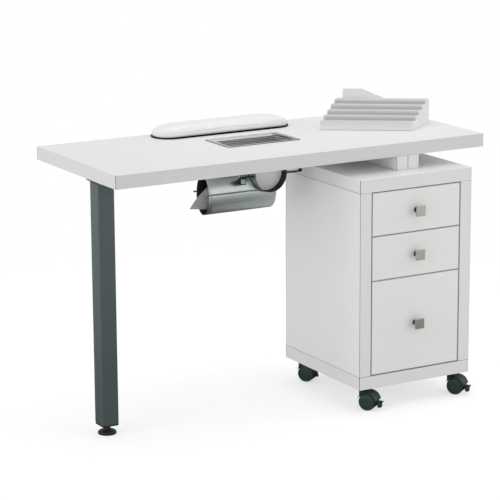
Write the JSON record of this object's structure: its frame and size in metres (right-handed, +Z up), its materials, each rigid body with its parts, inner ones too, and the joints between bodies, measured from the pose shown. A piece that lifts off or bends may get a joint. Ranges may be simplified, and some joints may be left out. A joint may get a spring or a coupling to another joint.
{
  "type": "manicure table",
  "caption": "White laminate manicure table on one square steel leg and a castored drawer cabinet, with built-in dust extractor, armrest and polish rack.",
  "frame": {"origin": "on the floor, at the middle of the object's footprint box", "axes": "+X along the worktop from the leg to the cabinet, +Y from the nail technician's side with the drawer fronts to the back edge, +Z up"},
  "size_m": [1.2, 0.595, 0.8595],
  "materials": {
    "white_laminate": "white melamine laminate on chipboard, smooth matt with a faint orange-peel",
    "drawer_board": "light grey foil on thin board",
    "satin_nickel": "satin nickel plate",
    "zinc_plated_steel": "bright zinc plate on pressed steel",
    "slate_painted_steel": "dark slate powder coat, semi-matt",
    "black_plastic": "black moulded plastic, matt",
    "slate_castor_plastic": "dark slate moulded nylon, fine texture",
    "brushed_steel": "brushed stainless sheet",
    "polished_steel": "polished stainless sheet",
    "white_moulded_plastic": "white moulded plastic, satin",
    "filter_fabric": "grey non-woven filter fabric",
    "white_padded_vinyl": "white vinyl upholstery over foam, fine grain"
  },
  "bodies": {
    "table": {"table_top": "white_laminate", "leg_mount_plate": "slate_painted_steel", "leg_tube": "slate_painted_steel", "leg_end_cap": "black_plastic", "cabinet_bottom_panel": "white_laminate", "cabinet_top_panel": "white_laminate", "cabinet_left_side": "white_laminate", "cabinet_right_side": "white_laminate", "cabinet_back_panel": "white_laminate", "spacer_board_left": "white_laminate", "spacer_board_right": "white_laminate", "extractor_upper_shell": "brushed_steel", "extractor_hinge_pin": "slate_painted_steel", "intake_hopper": "brushed_steel", "intake_trough": "brushed_steel", "intake_front_plate": "white_laminate", "switch_box": "black_plastic", "top_drawer_runner_left": "zinc_plated_steel", "top_drawer_runner_right": "zinc_plated_steel", "middle_drawer_runner_left": "zinc_plated_steel", "middle_drawer_runner_right": "zinc_plated_steel", "bottom_drawer_runner_left": "zinc_plated_steel", "bottom_drawer_runner_right": "zinc_plated_steel", "front_left_castor_plate": "zinc_plated_steel", "front_right_castor_plate": "zinc_plated_steel", "back_left_castor_plate": "zinc_plated_steel", "back_right_castor_plate": "zinc_plated_steel"},
    "levelling_foot": {"levelling_foot": "black_plastic"},
    "top_drawer": {"top_drawer_front": "white_laminate", "top_drawer_box": "drawer_board", "top_drawer_knob": "satin_nickel"},
    "middle_drawer": {"middle_drawer_front": "white_laminate", "middle_drawer_box": "drawer_board", "middle_drawer_knob": "satin_nickel"},
    "bottom_drawer": {"bottom_drawer_front": "white_laminate", "bottom_drawer_box": "drawer_board", "bottom_drawer_knob": "satin_nickel"},
    "front_left_castor": {"front_left_castor_housing": "slate_castor_plastic"},
    "front_left_wheel_inner": {"front_left_castor_wheel_inner": "slate_castor_plastic"},
    "front_left_wheel_outer": {"front_left_castor_wheel_outer": "slate_castor_plastic"},
    "front_left_brake": {"front_left_brake_lever": "slate_castor_plastic"},
    "front_right_castor": {"front_right_castor_housing": "slate_castor_plastic"},
    "front_right_wheel_inner": {"front_right_castor_wheel_inner": "slate_castor_plastic"},
    "front_right_wheel_outer": {"front_right_castor_wheel_outer": "slate_castor_plastic"},
    "front_right_brake": {"front_right_brake_lever": "slate_castor_plastic"},
    "back_left_castor": {"back_left_castor_housing": "slate_castor_plastic"},
    "back_left_wheel_inner": {"back_left_castor_wheel_inner": "slate_castor_plastic"},
    "back_left_wheel_outer": {"back_left_castor_wheel_outer": "slate_castor_plastic"},
    "back_right_castor": {"back_right_castor_housing": "slate_castor_plastic"},
    "back_right_wheel_inner": {"back_right_castor_wheel_inner": "slate_castor_plastic"},
    "back_right_wheel_outer": {"back_right_castor_wheel_outer": "slate_castor_plastic"},
    "lower_shell": {"extractor_lower_shell": "brushed_steel", "fan_motor": "slate_painted_steel"},
    "fan": {"fan_wheel": "white_moulded_plastic"},
    "rocker": {"rocker_switch": "white_moulded_plastic"},
    "filter_bag": {"filter_bag": "filter_fabric"},
    "grille": {"extractor_grille": "polished_steel"},
    "armrest": {"armrest_base": "black_plastic", "armrest_pad": "white_padded_vinyl"},
    "polish_rack": {"polish_rack": "white_moulded_plastic"}
  },
  "joints": [
    {"name": "levelling_foot_travel", "type": "slide", "parent": "table", "child": "levelling_foot", "axis": [0, 0, -1], "range_m": [-0.006, 0.016]},
    {"name": "top_drawer_slide", "type": "slide", "parent": "table", "child": "top_drawer", "axis": [0, -1, 0], "range_m": [0, 0.28]},
    {"name": "middle_drawer_slide", "type": "slide", "parent": "table", "child": "middle_drawer", "axis": [0, -1, 0], "range_m": [0, 0.28]},
    {"name": "bottom_drawer_slide", "type": "slide", "parent": "table", "child": "bottom_drawer", "axis": [0, -1, 0], "range_m": [0, 0.28]},
    {"name": "front_left_castor_swivel", "type": "hinge", "parent": "table", "child": "front_left_castor", "pos_m": [0.166, -0.2365, 0.05], "axis": [0, 0, 1], "continuous": true},
    {"name": "front_left_wheel_inner_roll", "type": "hinge", "parent": "front_left_castor", "child": "front_left_wheel_inner", "pos_m": [0.17658, -0.25106, 0.025], "axis": [0.809, 0.5878, 0], "continuous": true},
    {"name": "front_left_wheel_outer_roll", "type": "hinge", "parent": "front_left_castor", "child": "front_left_wheel_outer", "pos_m": [0.17658, -0.25106, 0.025], "axis": [0.809, 0.5878, 0], "continuous": true},
    {"name": "front_left_brake_press", "type": "hinge", "parent": "front_left_castor", "child": "front_left_brake", "pos_m": [0.1951, -0.27655, 0.018], "axis": [0.809, 0.5878, 0], "range_deg": [0, 12]},
    {"name": "front_right_castor_swivel", "type": "hinge", "parent": "table", "child": "front_right_castor", "pos_m": [0.474, -0.2365, 0.05], "axis": [0, 0, 1], "continuous": true},
    {"name": "front_right_wheel_inner_roll", "type": "hinge", "parent": "front_right_castor", "child": "front_right_wheel_inner", "pos_m": [0.48458, -0.25106, 0.025], "axis": [0.809, 0.5878, 0], "continuous": true},
    {"name": "front_right_wheel_outer_roll", "type": "hinge", "parent": "front_right_castor", "child": "front_right_wheel_outer", "pos_m": [0.48458, -0.25106, 0.025], "axis": [0.809, 0.5878, 0], "continuous": true},
    {"name": "front_right_brake_press", "type": "hinge", "parent": "front_right_castor", "child": "front_right_brake", "pos_m": [0.5031, -0.27655, 0.018], "axis": [0.809, 0.5878, 0], "range_deg": [0, 12]},
    {"name": "back_left_castor_swivel", "type": "hinge", "parent": "table", "child": "back_left_castor", "pos_m": [0.166, 0.1015, 0.05], "axis": [0, 0, 1], "continuous": true},
    {"name": "back_left_wheel_inner_roll", "type": "hinge", "parent": "back_left_castor", "child": "back_left_wheel_inner", "pos_m": [0.17658, 0.08694, 0.025], "axis": [0.809, 0.5878, 0], "continuous": true},
    {"name": "back_left_wheel_outer_roll", "type": "hinge", "parent": "back_left_castor", "child": "back_left_wheel_outer", "pos_m": [0.17658, 0.08694, 0.025], "axis": [0.809, 0.5878, 0], "continuous": true},
    {"name": "back_right_castor_swivel", "type": "hinge", "parent": "table", "child": "back_right_castor", "pos_m": [0.474, 0.1015, 0.05], "axis": [0, 0, 1], "continuous": true},
    {"name": "back_right_wheel_inner_roll", "type": "hinge", "parent": "back_right_castor", "child": "back_right_wheel_inner", "pos_m": [0.48458, 0.08694, 0.025], "axis": [0.809, 0.5878, 0], "continuous": true},
    {"name": "back_right_wheel_outer_roll", "type": "hinge", "parent": "back_right_castor", "child": "back_right_wheel_outer", "pos_m": [0.48458, 0.08694, 0.025], "axis": [0.809, 0.5878, 0], "continuous": true},
    {"name": "lower_shell_hinge", "type": "hinge", "parent": "table", "child": "lower_shell", "pos_m": [-0.0255, 0.055, 0.631], "axis": [1, 0, 0], "range_deg": [0, 70]},
    {"name": "fan_spin", "type": "hinge", "parent": "lower_shell", "child": "fan", "pos_m": [-0.062, 0.0145, 0.599], "axis": [1, 0, 0], "continuous": true},
    {"name": "rocker_press", "type": "hinge", "parent": "table", "child": "rocker", "pos_m": [-0.1165, -0.0375, 0.6645], "axis": [1, 0, 0], "range_deg": [0, 12]},
    {"name": "filter_bag_pull", "type": "slide", "parent": "table", "child": "filter_bag", "axis": [-1, 0, 0], "range_m": [0, 0.12]},
    {"name": "grille_lift", "type": "slide", "parent": "table", "child": "grille", "axis": [0, 0, 1], "range_m": [0, 0.05]},
    {"name": "armrest_lift", "type": "slide", "parent": "table", "child": "armrest", "axis": [0, 0, 1], "range_m": [0, 0.1]},
    {"name": "polish_rack_lift", "type": "slide", "parent": "table", "child": "polish_rack", "axis": [0, 0, 1], "range_m": [0, 0.1]}
  ]
}
